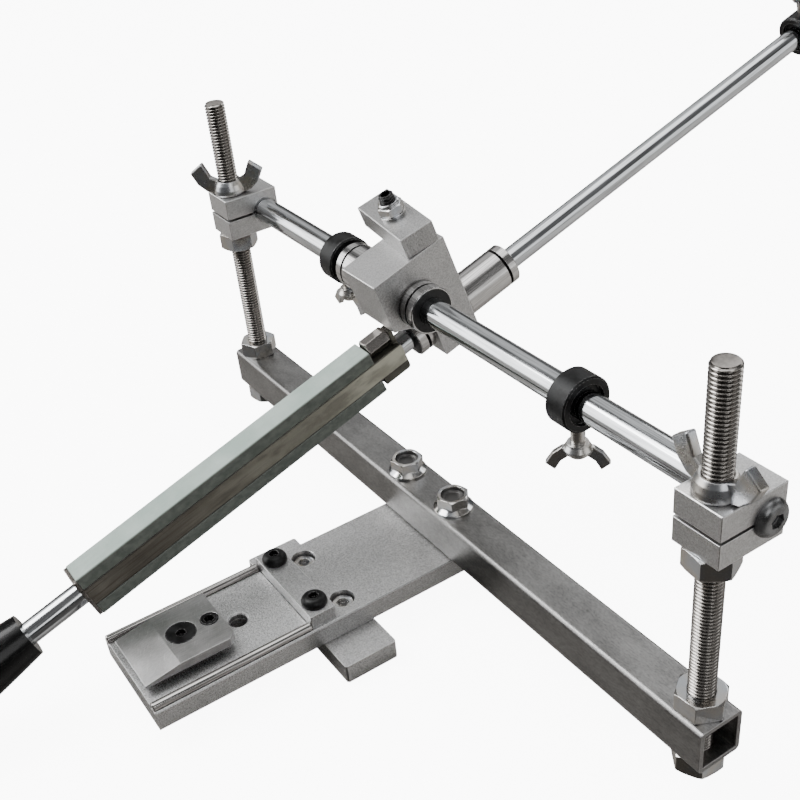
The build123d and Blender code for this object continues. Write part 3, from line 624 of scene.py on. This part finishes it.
def threaded_rod(name, radius, length, pitch, depth, chamfer, steps, matrix, socket=None):
    """Rod along Z from 0 to length with a helical thread cut into it and chamfered ends.

    steps is the number of vertices round it, socket the flats and depth of a key recess.
    """
    bm = bmesh.new()
    rows = int(length / pitch * ROWS_PER_TURN)
    rings = []
    for k in range(rows + 1):
        z = length * k / rows
        limit = radius - chamfer + min(z, length - z, chamfer)
        heights = [thread_height(z / pitch - i / steps, depth) for i in range(steps)]
        rings.append(ring_of(bm, [min(radius - depth + height, limit) for height in heights], z))
    for low, high in zip(rings, rings[1:]):
        join_rings(bm, low, high)
    bm.faces.new(list(reversed(rings[0])))
    if socket is None:
        bm.faces.new(rings[-1])
    else:
        close_with_socket(bm, rings[-1], length, *socket)
    mesh = bpy.data.meshes.new(name)
    bm.to_mesh(mesh)
    bm.free()
    mesh.transform(matrix)
    return mesh


def stud_piece(side):
    """Threaded stud through the tube and its clamp block."""
    node = f"stud_{side}"
    name = f"stud_thread_{side}"
    low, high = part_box(node)
    foot = Matrix.Translation((middle(node).x, middle(node).y, low.z))
    mesh = threaded_rod(
        name, radius=4.97 * MM, length=high.z - low.z, pitch=1.5 * MM, depth=0.92 * MM,
        chamfer=0.7 * MM, steps=48, matrix=foot,
    )
    new_piece(name, mesh, node)


def swivel_screw_piece():
    """Threaded screw with a key socket, up through the swivel bar."""
    name = "swivel_screw_thread"
    axis = stone_up
    point = Vector(joints["swivel_turn"]["pos_m"])
    reach = [(vertex.co - point).dot(axis) for vertex in nodes["swivel_screw"].data.vertices]
    upright = axis.to_track_quat("Z", "Y").to_matrix().to_4x4()
    turned = upright @ Matrix.Rotation(SOCKET_TURN, 4, "Z")
    mesh = threaded_rod(
        name, radius=3.38 * MM, length=max(reach) - min(reach), pitch=1.25 * MM, depth=0.7 * MM,
        chamfer=0.6 * MM, steps=40, matrix=Matrix.Translation(point + axis * min(reach)) @ turned,
        socket=(SOCKET_FLATS, SOCKET_DEPTH),
    )
    new_piece(name, mesh, "swivel_screw")


stud_piece("left")
stud_piece("right")
swivel_screw_piece()

# ---- camera -------------------------------------------------------------------------
CAMERA_AT = Vector((0.35765, -0.15615, 0.35378))
CAMERA_AZIMUTH = math.radians(60.6536)
CAMERA_ELEVATION = math.radians(34.0227)
CAMERA_ROLL = math.radians(-6.8436)
SENSOR_WIDTH = 36.0
FOCAL_LENGTH = 52.2374
LENS_SHIFT = (0.01553, 0.04284)

back = Vector((
    math.sin(CAMERA_AZIMUTH) * math.cos(CAMERA_ELEVATION),
    -math.cos(CAMERA_AZIMUTH) * math.cos(CAMERA_ELEVATION),
    math.sin(CAMERA_ELEVATION),
))
lens = bpy.data.cameras.new("camera")
lens.sensor_width = SENSOR_WIDTH
lens.lens = FOCAL_LENGTH
lens.shift_x, lens.shift_y = LENS_SHIFT
lens.clip_start, lens.clip_end = 0.01, 20.0
camera = bpy.data.objects.new("camera", lens)
bpy.context.scene.collection.objects.link(camera)
camera.location = CAMERA_AT
level_view = (-back).to_track_quat("-Z", "Y").to_matrix().to_4x4()
camera.rotation_euler = (level_view @ Matrix.Rotation(CAMERA_ROLL, 4, "Z")).to_euler()
bpy.context.scene.camera = camera

# ---- stage --------------------------------------------------------------------------
FLOOR_HALF_SIZE = 12.0
FLOOR_GLOW = 9.0             # strength of the floor's own light, seen by the camera only
BACKDROP = 9.5               # what the camera sees past the floor's far edge
PALE = (0.90, 0.90, 0.90, 1)
PALER = (0.92, 0.92, 0.915, 1)
BENCH = (0.300, 0.286, 0.270, 1)
BENCH_AT_SIDE = (0.520, 0.505, 0.485, 1)
BENCH_AT_FRONT = (0.024, 0.021, 0.018, 1)

# Brightness of the room by height: (share of the way from straight down to straight up, level).
ROOM_BANDS = [(0.00, 0.08), (0.50, 0.05), (0.56, 0.07), (0.70, 0.12), (1.00, 0.16)]
# Soft boxes: (direction, cosine where it starts, cosine where it's full, level).
SOFT_BOXES = [
    ((-0.60, 0.38, 0.66), 0.88, 0.97, 0.60),
    ((-0.62, -0.62, 0.36), 0.87, 0.95, 4.0),
    ((-0.10, 0.10, 0.98), 0.90, 0.96, 2.4),
    ((0.80, 0.52, 0.15), 0.90, 0.96, 1.3),
]
# Lamps: (name, place, point it aims at, width and height, power).
LAMPS = [
    ("key", (-0.6, -0.6, 1.3), (0, 0.05, 0.08), (0.7, 0.7), 16),
    ("fill", (1.3, -0.2, 0.9), (0, 0.05, 0.08), (0.6, 0.9), 4),
    ("back", (-0.3, 1.4, 1.0), (0, 0.05, 0.1), (1.2, 0.5), 6),
]


def stage_floor():
    """Wide pale floor; the metal sees it as a darker, slightly warm bench."""
    bm = bmesh.new()
    bmesh.ops.create_grid(bm, x_segments=8, y_segments=8, size=FLOOR_HALF_SIZE)
    mesh = bpy.data.meshes.new("floor")
    bm.to_mesh(mesh)
    bm.free()
    g = Graph("pale_floor")
    pale = g.mix(g.level(g.noise(12, rough=0.5)), PALE, PALER)
    seen = g.add("ShaderNodeLightPath").outputs["Is Camera Ray"]
    ray_from = g.geometry["Incoming"]
    frontwards = g.ramp(g.dot(ray_from, (-0.56, 0.83, 0.0)), 0.15, 0.55)
    sidewards = g.ramp(g.dot(ray_from, (-0.86, -0.50, 0.0)), 0.35, 0.70)
    bench = g.mix(frontwards, g.mix(sidewards, BENCH, BENCH_AT_SIDE), BENCH_AT_FRONT)
    glow = g.times(seen, FLOOR_GLOW)
    g.finish(g.mix(seen, bench, pale), 0.0, 0.9, Emission_Color=grey(1.0), Emission_Strength=glow)
    mesh.materials.append(g.material)
    obj = bpy.data.objects.new("floor", mesh)
    obj.location = (0, 0, -0.5 * MM)
    bpy.context.scene.collection.objects.link(obj)


def area_light(name, at, target, size, power):
    light = bpy.data.lights.new(name, "AREA")
    light.shape = "RECTANGLE"
    light.size, light.size_y = size
    light.energy = power
    obj = bpy.data.objects.new(name, light)
    obj.location = at
    obj.rotation_euler = (Vector(target) - Vector(at)).to_track_quat("-Z", "Y").to_euler()
    bpy.context.scene.collection.objects.link(obj)


def studio_world():
    """Pale backdrop; the metal mirrors a dim room with four soft boxes instead."""
    world = bpy.data.worlds.new("studio")
    bpy.context.scene.world = world
    world.use_nodes = True
    tree = world.node_tree
    tree.nodes.clear()

    def add(kind, **values):
        node = tree.nodes.new(kind)
        for key, value in values.items():
            setattr(node, key, value)
        return node

    def link(source, target):
        tree.links.new(source, target)

    direction = add("ShaderNodeTexCoord").outputs["Generated"]
    split = add("ShaderNodeSeparateXYZ")
    link(direction, split.inputs[0])
    lift = add("ShaderNodeMapRange")
    lift.inputs["From Min"].default_value = -1.0
    link(split.outputs["Z"], lift.inputs["Value"])
    bands = add("ShaderNodeValToRGB")
    bands.color_ramp.interpolation = "EASE"
    link(lift.outputs[0], bands.inputs[0])
    while len(bands.color_ramp.elements) < len(ROOM_BANDS):
        bands.color_ramp.elements.new(0.5)
    for element, (at, level) in zip(bands.color_ramp.elements, ROOM_BANDS):
        element.position = at
        element.color = grey(level)
    total = bands.outputs[0]
    for toward, start, full, level in SOFT_BOXES:
        facing = add("ShaderNodeVectorMath", operation="DOT_PRODUCT")
        facing.inputs[1].default_value = Vector(toward).normalized()
        link(direction, facing.inputs[0])
        glow = add("ShaderNodeMapRange", interpolation_type="SMOOTHSTEP")
        for key, value in (("From Min", start), ("From Max", full), ("To Max", level)):
            glow.inputs[key].default_value = value
        link(facing.outputs["Value"], glow.inputs["Value"])
        plus = add("ShaderNodeMath", operation="ADD")
        link(total, plus.inputs[0])
        link(glow.outputs[0], plus.inputs[1])
        total = plus.outputs[0]
    room = add("ShaderNodeBackground")
    link(total, room.inputs["Color"])
    backdrop = add("ShaderNodeBackground")
    backdrop.inputs["Strength"].default_value = BACKDROP
    seen = add("ShaderNodeMixShader")
    link(add("ShaderNodeLightPath").outputs["Is Camera Ray"], seen.inputs[0])
    link(room.outputs[0], seen.inputs[1])
    link(backdrop.outputs[0], seen.inputs[2])
    link(seen.outputs[0], add("ShaderNodeOutputWorld").inputs["Surface"])


stage_floor()
studio_world()
for lamp in LAMPS:
    area_light(*lamp)
